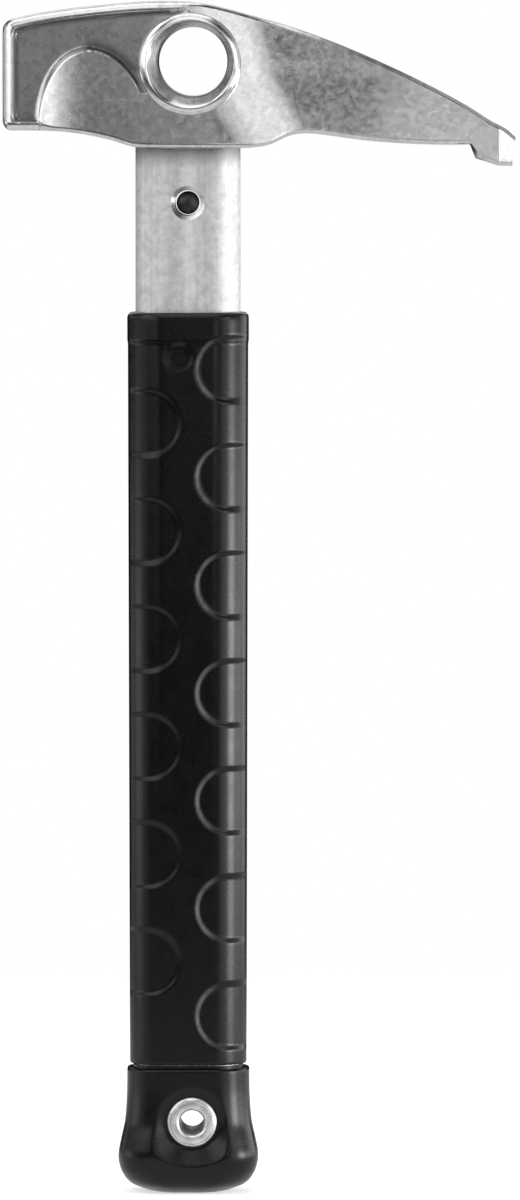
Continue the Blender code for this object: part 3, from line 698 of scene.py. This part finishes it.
def heelGround(x, y, z):
    # grinds the facet behind the heel, toward the back of the tooth
    heel, back = head["beak"][1], head["beak"][2]
    left = head["heelLeft"]
    backLine = heel[0] + (back[0] - heel[0]) / (back[1] - heel[1]) * (z - heel[1])
    wide = np.interp(z, (back[1], heel[1]), head["heelFacet"][::-1])
    onTooth = (z < heel[1] + left) & (x > head["heelFrom"])
    facet = np.where(onTooth, left + (x - backLine) * head["heelDepth"] / wide, y)
    return np.minimum(y, np.maximum(facet, left))


def holeTool():
    # the hole isn't quite in the middle of its ring, so its dish is wider below and toward the poll
    small = np.array([*head["holeCentre"], head["holeRadius"]])
    large = np.array([*head["ringCentre"], head["ringCrest"]])
    levels = [(-y, *(small + (large - small) * share)) for share, y in reversed(head["dish"])]
    mouth = (levels[0][0] - past, *head["ringCentre"], head["ringCrest"] + head["mouthWider"])
    levels = [mouth] + levels
    levels += [(-y, *rest) for y, *rest in reversed(levels)]
    return stackedDiscs(levels)


# Wear and grime on the head, with painted highlights and painted shade, in millimetres. A mark lies this
# far outside the ring's crest, or this far inside the outline of the recess or the boss, and fades over the
# pair of distances that goes with it.
marks = {
    "crest": 0.2, "crestFade": (0.25, 0.75), "crestHeight": (13.0, 13.3),
    "rim": -0.7, "rimFade": (0.3, 1.2), "rimWearAndHighlight": 0.5, "rimEndsBeforeRing": 8.0,
    "archEdge": 0.9, "archEdgeFade": (0.2, 0.7), "archEdgeTo": (-37.0, -33.0),
    "wallShadeFrom": (0.1, 0.5), "wallShadeTo": (1.0, 2.4),
    "footShade": -0.5, "footShadeFade": (0.0, 1.2), "footShare": 0.6,
    "rightShadeFade": (-4.0, -0.6), "rightShare": 1.25,
    "floorShare": 0.5, "bossPlainFrom": (0.3, 0.9), "ringPlainWithin": (12.8, 13.2),
    "flankFrom": 8.0,
}


def paintHead(mesh):
    # lighter along the ring's crest, the recess's rim and the boss's left edge: partly polish from rubbing
    # against other gear, partly a painted highlight; darker in the recess and along the boss: partly grime,
    # partly painted shade
    x, y, z = pointsOf(mesh).T
    fromRing = np.hypot(x - head["ringCentre"][0], z - head["ringCentre"][1])
    inside, sunk = recessShare(x, z)
    arch = insideArch(x, z)
    onFlank = np.abs(y) > marks["flankFrom"]

    crest = fadeOut(*marks["crestFade"], np.abs(fromRing - head["ringCrest"] - marks["crest"]))
    crest = crest * smoothStep(*marks["crestHeight"], np.abs(y))
    rim = fadeOut(*marks["rimFade"], np.abs(inside - marks["rim"])) * marks["rimWearAndHighlight"]
    rim = rim * (x < head["ringCentre"][0] - marks["rimEndsBeforeRing"]) * onFlank
    # the boss's edge is lightened on its left only, a painted highlight where the light falls
    archEdge = fadeOut(*marks["archEdgeFade"], np.abs(arch - marks["archEdge"])) * (sunk > 0.3) * onFlank
    archEdge = archEdge * fadeOut(*marks["archEdgeTo"], x)
    paint(mesh, "wornAndHighlit", np.maximum(np.maximum(crest, rim), archEdge))

    # painted shade, with some grime, on the recess's walls, at the boss's foot and down its right side, and
    # half over its floor
    wall = smoothStep(*marks["wallShadeFrom"], inside) * fadeOut(*marks["wallShadeTo"], inside)
    foot = fadeOut(*marks["footShadeFade"], np.abs(arch - marks["footShade"])) * marks["footShare"]
    right = smoothStep(*head["archSteepFrom"], x) * marks["rightShare"]
    foot = np.maximum(foot, smoothStep(*marks["rightShadeFade"], arch) * right)
    grimeAndShade = np.maximum(np.maximum(wall, foot), marks["floorShare"]) * (sunk > 0.05) * onFlank
    grimeAndShade = grimeAndShade * fadeOut(*marks["bossPlainFrom"], arch) * smoothStep(*marks["ringPlainWithin"], fromRing)
    paint(mesh, "grimeAndShade", grimeAndShade)
    return mesh


def headSolid():
    bm = bmesh.new()
    flank = headFlank()
    bm.from_mesh(flank)
    bpy.data.meshes.remove(flank)
    border = [e for e in bm.edges if e.is_boundary]
    made = bmesh.ops.extrude_edge_only(bm, edges=border)
    for vert in (item for item in made["geom"] if isinstance(item, bmesh.types.BMVert)):
        vert.co.y = 0.0
    bmesh.ops.mirror(bm, geom=bm.verts[:] + bm.edges[:] + bm.faces[:], axis="Y", merge_dist=weld)
    bmesh.ops.remove_doubles(bm, verts=bm.verts, dist=weld)
    bmesh.ops.recalc_face_normals(bm, faces=bm.faces)
    ringProfile = [(0.0, head["ring"][0][1])] + list(head["ring"])
    ringProfile += [(radius, -y) for radius, y in reversed(ringProfile)]
    ring = spun(ringProfile, head["ringCentre"], head["ringSteps"])
    socket = roundedPrism(*head["socket"], *head["socketEnds"])
    steps = (("UNION", ring), ("DIFFERENCE", holeTool()), ("DIFFERENCE", socket))
    return paintHead(joinedBy(meshOf("head", bm), steps))


addPiece("forgedHead", headSolid(), forgedSteel, ["head"])


# Shaft: one length of drawn tube, cross drilled for the pin and for the eyelet

shaft = {
    "outside": (26.4, 18.0, 7.0), "wall": 2.0, "bottom": 8.5, "top": 266.2, "pinLevel": 249.5,
    "pinBore": 3.2, "countersink": 4.25, "countersinkSlope": 0.8, "brokenEdge": (0.15, 0.12),
    "edgeOutside": 0.05, "toolOutside": 0.5, "eyeletBore": 4.3, "cornerSteps": 18,
}

# Radii are measured from the eyelet's axis, and the seat is where the flange meets the pommel's dish;
# the flange's edge is a row of (how far inside its radius, height over the seat)
eyelet = {
    "centre": (1.0, 18.4), "seat": 11.1, "bore": 3.05, "barrel": 4.0, "flange": 6.3, "crest": 5.0,
    "mouthRound": 1.15, "mouthHeight": 0.35, "crestRound": 0.75,
    "flangeEdge": ((0.75, 0.95), (0.35, 0.8), (0.08, 0.5), (0.0, 0.25), (0.05, 0.0)),
    "lipMiddle": 4.75, "lipRound": 0.6, "lipHeight": 0.1, "lipInner": 3.6, "lipDepth": 0.6,
    "washer": 0.8, "washerRound": 0.3, "gap": 0.3,
}


def throughHole(radius, centre, depth):
    # a round tool along Y, through something that is depth thick
    end = depth / 2 + past
    return spun(((0, -end), (radius, -end), (radius, end), (0, end)), centre)


def shaftSolid():
    width, depth, corner = shaft["outside"]
    wall = shaft["wall"]
    steps = shaft["cornerSteps"]
    low, high = shaft["bottom"], shaft["top"]
    body = roundedPrism(width, depth, corner, low, high, steps)
    width, corner, low, high = width - 2 * wall, corner - wall, low - past, high + past
    inside = roundedPrism(width, depth - 2 * wall, corner, low, high, steps)
    small, large = shaft["pinBore"], shaft["countersink"]
    face = depth / 2
    across, deep = shaft["brokenEdge"]
    front = [
        (0, -face - past), (large + shaft["toolOutside"], -face - past),
        (large + shaft["edgeOutside"], -face), (large - across, -face + deep),
        (small, -face + (large - small) * shaft["countersinkSlope"]),
    ]
    back = [(radius, -y) for radius, y in reversed(front)]
    pinHole = spun(front + back, (0.0, shaft["pinLevel"]))
    eyeletHole = throughHole(shaft["eyeletBore"], eyelet["centre"], depth)
    cuts = [("DIFFERENCE", tool) for tool in (inside, pinHole, eyeletHole)]
    return joinedBy(meshOf("shaft", body), cuts)


brushedAluminium = brushedAluminiumFinish()
tubePiece = addPiece("shaftTube", shaftSolid(), brushedAluminium, ["shaft_tube"], 30)
flatFaces = tubePiece.modifiers.new("flatFaces", "WEIGHTED_NORMAL")
flatFaces.keep_sharp = True


# Head pin: a solid pin across tube and tang, its domed ends sunk below the tube's face

pin = {"outside": 2.85, "halfLength": 7.4, "dome": 0.6, "edge": 0.4}


def pinSolid():
    flat = pin["outside"] - pin["edge"]
    end = pin["halfLength"]
    crown = [(flat * share, end - pin["dome"] * share**2) for share in np.linspace(0, 1, 7)]
    side = arc((flat, end - pin["dome"] - pin["edge"]), pin["edge"], 90, 0, 5)[1:]
    profile = crown + side + [(radius, -y) for radius, y in reversed(crown + side)]
    return meshOf("pin", spun(profile, (0.0, shaft["pinLevel"])))


addPiece("headPin", pinSolid(), darkPinSteel, ["head_pin"])


# Grip and pommel: skins with a rounded rectangular section, wrapped from a grid

def sectionPlan(cornerSteps, flatSteps, sideSteps):
    # once round a rounded rectangle from the front's left corner, as (share of the flat's half width,
    # share of the side's half depth, direction across, direction in depth)
    plan = []
    starts = ((180, -1, -1, flatSteps, (1, 0)), (270, 1, -1, sideSteps, (0, 1)),
              (0, 1, 1, flatSteps, (-1, 0)), (90, -1, 1, sideSteps, (0, -1)))
    for start, across, deep, flat, way in starts:
        for step in range(cornerSteps):
            angle = math.radians(start + 90 * step / cornerSteps)
            plan.append((across, deep, math.cos(angle), math.sin(angle)))
        angle = math.radians(start + 90)
        for step in range(flat):
            share = 2 * step / flat
            plan.append((across + way[0] * share, deep + way[1] * share, math.cos(angle), math.sin(angle)))
    return np.array(plan)


def wrappedSkin(plan, levels, closeRows, relief):
    # levels are (z, half width, half depth, corner), and with closeRows the last one joins the first;
    # relief gives the new y of points, from where they are and how far they face along Y
    bm = bmesh.new()
    rows = len(levels) + (1 if closeRows else 0)
    bmesh.ops.create_grid(bm, x_segments=len(plan), y_segments=rows - 1, size=1.0)
    mesh = meshOf("skin", bm)
    column, row = gridPlaces(mesh, len(plan) + 1, rows)
    z, wide, deep, corner = np.array(levels)[row % len(levels)].T
    corner = np.minimum(corner, np.minimum(wide, deep))
    acrossShare, deepShare, nx, ny = plan[column % len(plan)].T
    x = acrossShare * (wide - corner) + corner * nx
    y = deepShare * (deep - corner) + corner * ny
    movePoints(mesh, np.stack([x, relief(x, y, z, ny), z], axis=1))
    bm = bmesh.new()
    bm.from_mesh(mesh)
    bpy.data.meshes.remove(mesh)
    bmesh.ops.remove_doubles(bm, verts=bm.verts, dist=weld)
    bmesh.ops.holes_fill(bm, edges=bm.edges, sides=0)
    bmesh.ops.recalc_face_normals(bm, faces=bm.faces)
    return bm


grip = {
    "bottom": 32.7, "top": 222.0, "widths": ((32.7, 29.4), (222.0, 30.3)), "depth": 22.0, "corner": 9.0,
    "bore": (13.5, 9.3, 7.3), "lowRound": 0.5, "topRound": 1.4, "roundRows": 8, "step": 0.45,
    "plan": (30, 26, 3), "collarHeight": 7.2, "collarEdge": (0.6, -0.2), "collarRise": 0.15,
    "recessRadius": 8.1, "recessWall": 1.3, "recessPitch": 27.12,
    "rightRecesses": (10.4, 207.8, 7, 0.5), "leftRecesses": (-10.2, 194.3, 6, 0.32),
    "dimple": (-2.3, 210.7, 3.8), "dimpleEdge": (-1.3, 0.2), "dimpleDepth": 0.28,
    "rimHighlightFade": (0.2, 0.75), "rimHighlightFrom": (2.5, 6.0), "plainEnds": 0.2,
}


def fromRecess(x, z, centreX, highest, count):
    # distance toward the grip's middle line, and distance to the centre of the nearest recess
    nearest = np.clip(np.rint((highest - z) / grip["recessPitch"]), 0, count - 1)
    inward = np.maximum((centreX - x) * np.sign(centreX), 0.0)
    return inward, np.hypot(inward, z - (highest - nearest * grip["recessPitch"]))


def gripRelief(x, y, z, facing):
    # finger recesses down both edges, front and back, and a dimple on the front only
    pressed = np.zeros_like(x)
    radius, half = grip["recessRadius"], grip["recessWall"] / 2
    for centreX, highest, count, depth in (grip["rightRecesses"], grip["leftRecesses"]):
        away = fromRecess(x, z, centreX, highest, count)[1]
        pressed = np.maximum(pressed, fadeOut(radius - half, radius + half, away) * depth)
    dimpleX, dimpleZ, radius = grip["dimple"]
    inner, outer = (radius + edge for edge in grip["dimpleEdge"])
    inside = fadeOut(inner, outer, np.hypot(x - dimpleX, z - dimpleZ)) * (facing < 0)
    pressed = np.maximum(pressed, inside * grip["dimpleDepth"])
    # neither the bore nor the rounded ends are pressed in
    low = grip["bottom"] + grip["lowRound"] + grip["plainEnds"]
    high = grip["top"] - grip["topRound"] - grip["plainEnds"]
    onSkin = (z > low) & (z < high) & (np.abs(facing) > 0.02)
    return y - np.sign(facing) * pressed * onSkin


def paintGrip(mesh):
    # a painted highlight lies along the rims of the right hand recesses, on their part toward the grip's
    # middle
    x, y, z = pointsOf(mesh).T
    inward, away = fromRecess(x, z, *grip["rightRecesses"][:3])
    rim = fadeOut(*grip["rimHighlightFade"], np.abs(away - grip["recessRadius"]))
    onSkin = np.abs(y) > grip["bore"][1] + 0.5
    paint(mesh, "rimHighlight", rim * smoothStep(*grip["rimHighlightFrom"], inward) * onSkin)
    return mesh


def gripSolid():
    turned = np.linspace(0, math.pi / 2, grip["roundRows"])
    inset = 1 - np.sin(turned)
    rise = 1 - np.cos(turned)
    bottom, top = grip["bottom"], grip["top"]
    low, high = grip["lowRound"], grip["topRound"]
    outer = [(bottom + low * a, low * b) for a, b in zip(rise, inset)]
    outer += [(z, 0.0) for z in np.arange(bottom + low + 0.4, top - high - 0.3, grip["step"])]
    outer += [(top - high * a, high * b) for a, b in zip(rise[::-1], inset[::-1])]
    levels = [(bottom, *grip["bore"])]
    for z, drawnIn in outer:
        wide = lineThrough(grip["widths"], z) / 2
        collar = grip["collarRise"] * smoothStep(*grip["collarEdge"], top - grip["collarHeight"] - z)
        size = (wide + collar, grip["depth"] / 2 + collar, grip["corner"])
        levels.append((z, *(value - drawnIn for value in size)))
    levels.append((top, *grip["bore"]))
    return paintGrip(meshOf("grip", wrappedSkin(sectionPlan(*grip["plan"]), levels, True, gripRelief)))


addPiece("gripSleeve", gripSolid(), gripRubber, ["grip_sleeve"])

pommel = {
    "halfSizes": (
        (0.0, 8.0, 5.2), (0.5, 10.4, 7.1), (2.0, 14.1, 10.0), (4.8, 16.5, 12.0), (7.8, 17.5, 12.9),
        (10.0, 17.6, 13.0), (13.2, 17.0, 12.6), (18.0, 16.0, 11.9), (24.7, 15.5, 11.5), (31.0, 15.4, 11.4),
    ),
    "baseLevels": (0.0, 0.12, 0.3, 0.5, 0.8, 1.15, 1.55, 2.0), "step": 0.4,
    "top": 31.6, "topRound": 0.6, "roundRows": 7, "corner": 9.0,
    "neck": (13.8, 9.6, 7.6), "neckTop": 32.4, "socket": (13.5, 9.3, 7.3), "socketFloor": 8.2,
    "plan": (26, 26, 6), "bore": 4.3, "dishRadius": 7.0, "dishSink": 0.25, "dishSlope": 0.45,
    "dishReach": 13.0, "dishBlend": 0.12,
}


def pommelRelief(x, y, z, facing):
    # a dish sunk round the eyelet, front and back
    away = np.hypot(x - eyelet["centre"][0], z - eyelet["centre"][1])
    floor = eyelet["seat"] - pommel["dishSink"]
    floor = floor + np.maximum(away - pommel["dishRadius"], 0.0) * pommel["dishSlope"]
    sunk = np.sign(y) * softMin(np.abs(y), floor, pommel["dishBlend"])
    return np.where((away < pommel["dishReach"]) & (np.abs(facing) > 0.5) & (z > 0), sunk, y)


def pommelSolid():
    sizes = np.array(pommel["halfSizes"])
    top, rounding, step = pommel["top"], pommel["topRound"], pommel["step"]
    base = pommel["baseLevels"]
    z = np.concatenate([base, np.arange(base[-1] + step, top - rounding - 0.1, step)])
    wide = curveThrough(sizes[:, :2], z)
    deep = curveThrough(sizes[:, [0, 2]], z)
    levels = [(*size, pommel["corner"]) for size in zip(z, wide, deep)]
    for angle in np.linspace(0, math.pi / 2, pommel["roundRows"]):
        drawnIn = rounding * (1 - math.cos(angle))
        levels.append((
            top - rounding * (1 - math.sin(angle)), sizes[-1][1] - drawnIn, sizes[-1][2] - drawnIn,
            pommel["corner"],
        ))
    # a narrower neck fills the seam under the grip
    levels += [(top, *pommel["neck"]), (pommel["neckTop"], *pommel["neck"])]
    levels += [(pommel["neckTop"], *pommel["socket"]), (pommel["socketFloor"], *pommel["socket"])]
    bm = wrappedSkin(sectionPlan(*pommel["plan"]), levels, False, pommelRelief)
    bore = throughHole(pommel["bore"], eyelet["centre"], 2 * max(deep))
    return joinedBy(meshOf("pommel", bm), [("DIFFERENCE", bore)])


addPiece("pommelCap", pommelSolid(), pommelRubber, ["pommel_cap"])


# Eyelet: a domed flange and barrel from the front, rolled over a washer at the back

def eyeletBarrel():
    seat, bore, barrel, flange = (eyelet[key] for key in ("seat", "bore", "barrel", "flange"))
    mouth, crest, lip = (eyelet[key] for key in ("mouthRound", "crestRound", "lipRound"))
    dome = arc((bore + mouth, seat + eyelet["mouthHeight"]), mouth, 180, 90, 8)
    dome += arc((eyelet["crest"], seat + crest), crest, 90, 60, 3)[1:]
    rim = [(flange - inside, seat + high) for inside, high in eyelet["flangeEdge"]]
    front = [(radius, -y) for radius, y in dome + rim + [(barrel, seat)]]
    backSeat = seat + eyelet["washer"] + eyelet["gap"]
    middle = eyelet["lipMiddle"]
    back = [(barrel, backSeat), (middle + lip, backSeat)]
    lipLevel = backSeat + eyelet["lipHeight"]
    back += arc((middle, lipLevel), lip, 0, 180, 12)[1:]
    back += [(eyelet["lipInner"], lipLevel), (bore, backSeat - eyelet["lipDepth"])]
    return meshOf("eyelet", spun(front + back, eyelet["centre"], closed=True))


def eyeletWasher():
    seat, flange, rounding = eyelet["seat"], eyelet["flange"], eyelet["washerRound"]
    inner = eyelet["barrel"] + eyelet["gap"]
    outer = seat + eyelet["washer"]
    profile = [(inner, seat), (flange, seat)]
    profile += arc((flange - rounding, outer - rounding), rounding, 0, 90, 5)
    return meshOf("washer", spun(profile + [(inner, outer)], eyelet["centre"], closed=True))


addPiece("eyeletBarrel", eyeletBarrel(), brightEyelet, ["eyelet_barrel"])
addPiece("eyeletWasher", eyeletWasher(), brightEyelet, ["eyelet_washer"])


# Stage, camera and lights, in metres except for the floor

studio = {
    "floorRadius": 700.0,
    "reach": 0.8,
    # upright panels in a ring round the hammer, in rows as (lower edge, upper edge, panels); a panel is
    # (degrees from the front, to the right positive, degrees wide, brightness of its face)
    "rows": (
        (0.0, 0.16, (
            (34, 12, 2.2), (48, 16, 2.6), (66, 20, 17.0), (90, 28, 5.0), (120, 32, 2.4),
            (-66, 20, 0.6), (-90, 28, 2.0), (-120, 32, 0.6),
        )),
        (0.16, 0.24, ((10, 12, 3.1), (120, 32, 2.0), (-22, 12, 1.0), (-66, 20, 0.3))),
        (0.24, 0.6, (
            (0, 8, 0.3), (22, 12, 0.9), (34, 12, 1.3), (48, 16, 2.7), (66, 20, 0.6), (90, 28, 0.8),
            (120, 32, 2.0), (-10, 12, 0.25), (-22, 12, 1.1), (-34, 12, 2.4), (-48, 16, 2.0),
            (-66, 20, 1.6), (-90, 28, 0.9), (-120, 32, 0.6),
        )),
    ),
    # panels overhead, as (degrees from the front, degrees up, width, height, brightness), and the place
    # that they all face
    "overhead": (
        (0, 40, 0.45, 0.5, 1.3), (-60, 42, 0.45, 0.45, 2.0), (-90, 40, 0.6, 0.5, 0.5),
        (90, 40, 0.6, 0.5, 0.5), (0, 78, 0.7, 0.5, 1.8), (180, 60, 0.8, 0.5, 1.2), (180, 25, 0.8, 0.4, 1.2),
    ),
    "overheadFaces": (0.0, 0.0, 0.25),
}


def addStage():
    bm = bmesh.new()
    radius = studio["floorRadius"] * millimetre
    bmesh.ops.create_circle(bm, cap_ends=True, segments=96, radius=radius)
    mesh = meshOf("floor", bm)
    mesh.materials.append(floorFinish())
    floor = bpy.data.objects.new("floor", mesh)
    bpy.context.scene.collection.objects.link(floor)


def aimed(obj, place, target):
    obj.location = place
    obj.rotation_mode = "QUATERNION"
    obj.rotation_quaternion = (Vector(target) - Vector(place)).to_track_quat("-Z", "Y")
    bpy.context.scene.collection.objects.link(obj)


def addCamera():
    # the photograph was taken from far away, level with the head and looking slightly down
    shot = {"distance": 2.75, "height": 0.285, "middle": (0.0181, 0.0, 0.1494), "tall": 0.3024}
    middle = Vector(shot["middle"])
    place = Vector((middle.x, -shot["distance"], shot["height"]))
    data = bpy.data.cameras.new("camera")
    data.lens = data.sensor_width * (place - middle).length / shot["tall"]
    data.clip_start = 0.1
    data.clip_end = 50.0
    camera = bpy.data.objects.new("camera", data)
    aimed(camera, place, middle)
    bpy.context.scene.camera = camera


def addPanel(name, place, target, size, glow):
    data = bpy.data.lights.new(name, "AREA")
    data.shape = "RECTANGLE"
    data.size, data.size_y = size
    data.energy = glow * math.pi * size[0] * size[1]
    light = bpy.data.objects.new(name, data)
    light.visible_camera = False
    aimed(light, place, target)


def addLights():
    reach = studio["reach"]
    for row, (low, high, panels) in enumerate(studio["rows"]):
        level = (low + high) / 2
        for around, wide, glow in panels:
            angle = math.radians(around)
            size = (2 * reach * math.tan(math.radians(wide) / 2), high - low)
            place = (reach * math.sin(angle), -reach * math.cos(angle), level)
            addPanel("panel%d_%d" % (row, around), place, (0.0, 0.0, level), size, glow)
    middle = Vector(studio["overheadFaces"])
    for around, up, wide, tall, glow in studio["overhead"]:
        angle, lift = math.radians(around), math.radians(up)
        away = Vector((math.cos(lift) * math.sin(angle), -math.cos(lift) * math.cos(angle), math.sin(lift)))
        addPanel("overhead%d_%d" % (around, up), middle + away * reach, middle, (wide, tall), glow)


def addWorld():
    # white behind the object, dim in its reflections
    look = {"behind": 1.0, "around": 0.0}
    world = bpy.data.worlds.new("studio")
    bpy.context.scene.world = world
    world.use_nodes = True
    nodes, links = world.node_tree.nodes, world.node_tree.links
    shade = nodes["Background"]
    path = nodes.new("ShaderNodeLightPath")
    level = nodes.new("ShaderNodeMapRange")
    level.inputs["To Min"].default_value = look["around"]
    level.inputs["To Max"].default_value = look["behind"]
    links.new(path.outputs["Is Camera Ray"], level.inputs["Value"])
    links.new(level.outputs["Result"], shade.inputs["Strength"])
    shade.inputs["Color"].default_value = grey(1.0)


addStage()
addCamera()
addWorld()
addLights()
bpy.context.scene.view_settings.view_transform = "Standard"
print("stage, camera and lights made")

# The plug inside the tube is carried over from the CAD as it is
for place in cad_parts["tube_plug"].material_slots:
    place.material = plugPlastic
